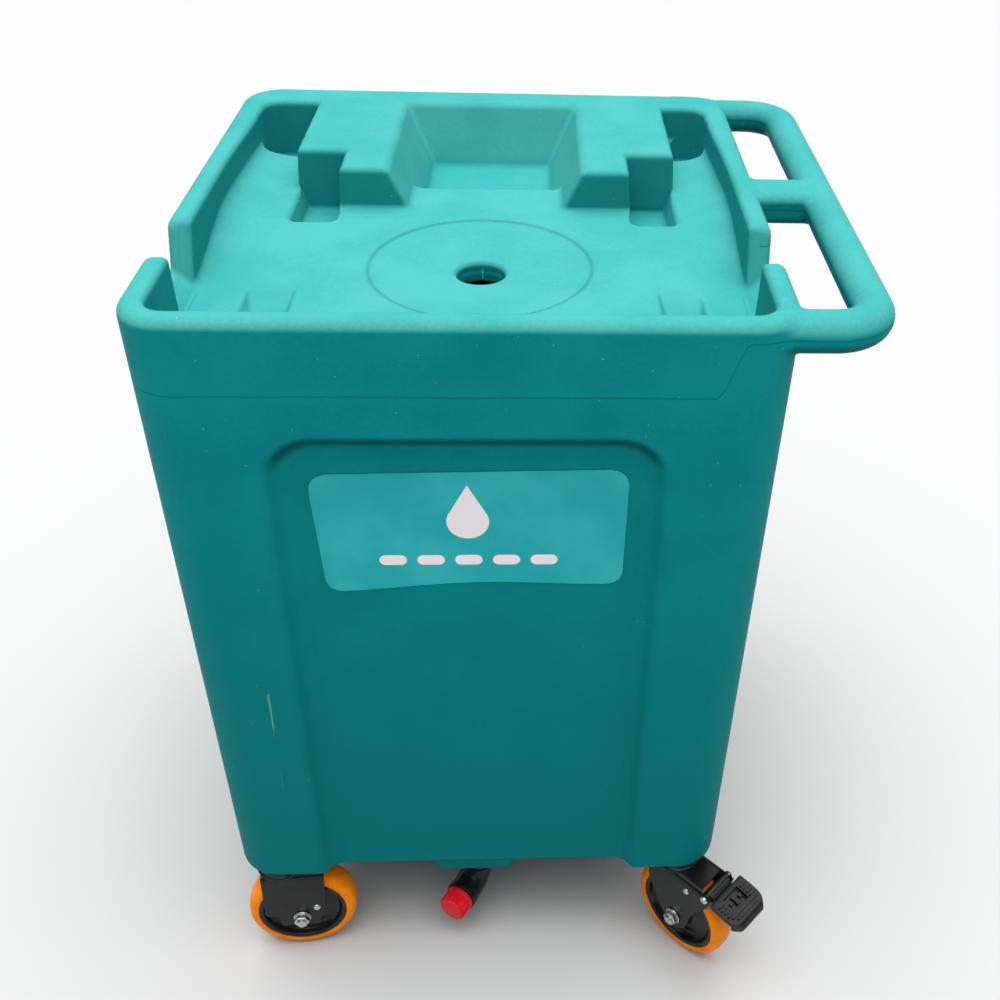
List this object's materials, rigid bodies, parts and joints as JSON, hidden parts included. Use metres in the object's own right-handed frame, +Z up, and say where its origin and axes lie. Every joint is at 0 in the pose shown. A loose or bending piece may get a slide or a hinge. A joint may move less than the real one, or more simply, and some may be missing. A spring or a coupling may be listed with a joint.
{
  "type": "portable waste tote",
  "caption": "Upright moulded waste tank on swivel casters with a recessed top tray and drain hole, a side push handle and a capped drain elbow underneath.",
  "frame": {"origin": "on the floor, under the middle of the whole object's box, handle and brake pedal included", "axes": "+Z up, -Y the front with the label panel and the drain outlet, +X the side with the push handle"},
  "size_m": [0.6804, 0.6751, 0.858],
  "materials": {
    "teal_polyethylene": "satin moulded polyethylene",
    "label_sticker": "satin vinyl",
    "black_plastic": "satin",
    "black_steel": "satin black coating",
    "zinc_steel": "bright zinc plate",
    "wheel_core_plastic": "satin",
    "orange_polyurethane": "satin polyurethane",
    "red_plastic": "satin",
    "black_rubber": "matt"
  },
  "bodies": {
    "tote": {"tank_shell": "teal_polyethylene", "top_deck": "teal_polyethylene", "side_handle": "teal_polyethylene", "front_label": "label_sticker", "drain_fitting": "black_plastic", "drain_gasket": "black_rubber", "drain_locknut": "black_plastic", "drain_elbow": "black_plastic", "front_left_caster_insert": "zinc_steel", "front_left_caster_stem": "zinc_steel", "front_right_caster_insert": "zinc_steel", "front_right_caster_stem": "zinc_steel", "rear_left_caster_insert": "zinc_steel", "rear_left_caster_stem": "zinc_steel", "rear_right_caster_insert": "zinc_steel", "rear_right_caster_stem": "zinc_steel"},
    "front_left_caster_swivel": {"front_left_caster_fork": "black_steel", "front_left_caster_axle_bolt": "zinc_steel", "front_left_caster_axle_nut": "zinc_steel", "front_left_caster_axle_sleeve": "zinc_steel"},
    "front_left_caster_wheel": {"front_left_caster_wheel_core": "wheel_core_plastic", "front_left_caster_wheel_tread": "orange_polyurethane"},
    "front_right_caster_swivel": {"front_right_caster_fork": "black_steel", "front_right_caster_axle_bolt": "zinc_steel", "front_right_caster_axle_nut": "zinc_steel", "front_right_caster_axle_sleeve": "zinc_steel", "front_right_caster_brake_pivot": "zinc_steel"},
    "front_right_caster_wheel": {"front_right_caster_wheel_core": "wheel_core_plastic", "front_right_caster_wheel_tread": "orange_polyurethane"},
    "front_right_caster_brake": {"front_right_caster_brake_lever": "black_steel", "front_right_caster_brake_pedal": "black_plastic", "front_right_caster_brake_shoe": "black_rubber"},
    "rear_left_caster_swivel": {"rear_left_caster_fork": "black_steel", "rear_left_caster_axle_bolt": "zinc_steel", "rear_left_caster_axle_nut": "zinc_steel", "rear_left_caster_axle_sleeve": "zinc_steel"},
    "rear_left_caster_wheel": {"rear_left_caster_wheel_core": "wheel_core_plastic", "rear_left_caster_wheel_tread": "orange_polyurethane"},
    "rear_right_caster_swivel": {"rear_right_caster_fork": "black_steel", "rear_right_caster_axle_bolt": "zinc_steel", "rear_right_caster_axle_nut": "zinc_steel", "rear_right_caster_axle_sleeve": "zinc_steel"},
    "rear_right_caster_wheel": {"rear_right_caster_wheel_core": "wheel_core_plastic", "rear_right_caster_wheel_tread": "orange_polyurethane"},
    "drain_cap_seal": {"drain_cap_seal": "black_rubber"},
    "drain_cap": {"drain_cap": "red_plastic"}
  },
  "joints": [
    {"name": "front_left_caster_swivel_turn", "type": "hinge", "parent": "tote", "child": "front_left_caster_swivel", "pos_m": [-0.27362, -0.23976, 0.135], "axis": [0, 0, 1], "continuous": true},
    {"name": "front_left_caster_wheel_spin", "type": "hinge", "parent": "front_left_caster_swivel", "child": "front_left_caster_wheel", "pos_m": [-0.25367, -0.23836, 0.062], "axis": [-0.0698, 0.9976, 0], "continuous": true},
    {"name": "front_right_caster_swivel_turn", "type": "hinge", "parent": "tote", "child": "front_right_caster_swivel", "pos_m": [0.18438, -0.23976, 0.135], "axis": [0, 0, 1], "continuous": true},
    {"name": "front_right_caster_wheel_spin", "type": "hinge", "parent": "front_right_caster_swivel", "child": "front_right_caster_wheel", "pos_m": [0.19852, -0.2539, 0.062], "axis": [0.7071, 0.7071, 0], "continuous": true},
    {"name": "front_right_caster_brake_press", "type": "hinge", "parent": "front_right_caster_swivel", "child": "front_right_caster_brake", "pos_m": [0.22681, -0.28219, 0.128], "axis": [0.7071, 0.7071, 0], "range_deg": [0, 20]},
    {"name": "rear_left_caster_swivel_turn", "type": "hinge", "parent": "tote", "child": "rear_left_caster_swivel", "pos_m": [-0.27362, 0.28624, 0.135], "axis": [0, 0, 1], "continuous": true},
    {"name": "rear_left_caster_wheel_spin", "type": "hinge", "parent": "rear_left_caster_swivel", "child": "rear_left_caster_wheel", "pos_m": [-0.25381, 0.28902, 0.062], "axis": [-0.1392, 0.9903, 0], "continuous": true},
    {"name": "rear_right_caster_swivel_turn", "type": "hinge", "parent": "tote", "child": "rear_right_caster_swivel", "pos_m": [0.18438, 0.28624, 0.135], "axis": [0, 0, 1], "continuous": true},
    {"name": "rear_right_caster_wheel_spin", "type": "hinge", "parent": "rear_right_caster_swivel", "child": "rear_right_caster_wheel", "pos_m": [0.20394, 0.28208, 0.062], "axis": [0.2079, 0.9781, 0], "continuous": true},
    {"name": "drain_cap_travel", "type": "slide", "parent": "tote", "child": "drain_cap_seal", "axis": [-0.5, -0.866, 0], "range_m": [0, 0.0121]},
    {"name": "drain_cap_unscrew", "type": "hinge", "parent": "drain_cap_seal", "child": "drain_cap", "pos_m": [-0.07062, -0.23267, 0.052], "axis": [-0.5, -0.866, 0], "range_deg": [0, 1080]}
  ],
  "couplings": [
    {"joint": "drain_cap_travel", "follows": "drain_cap_unscrew", "m_per_rad": 0.00063662}
  ]
}
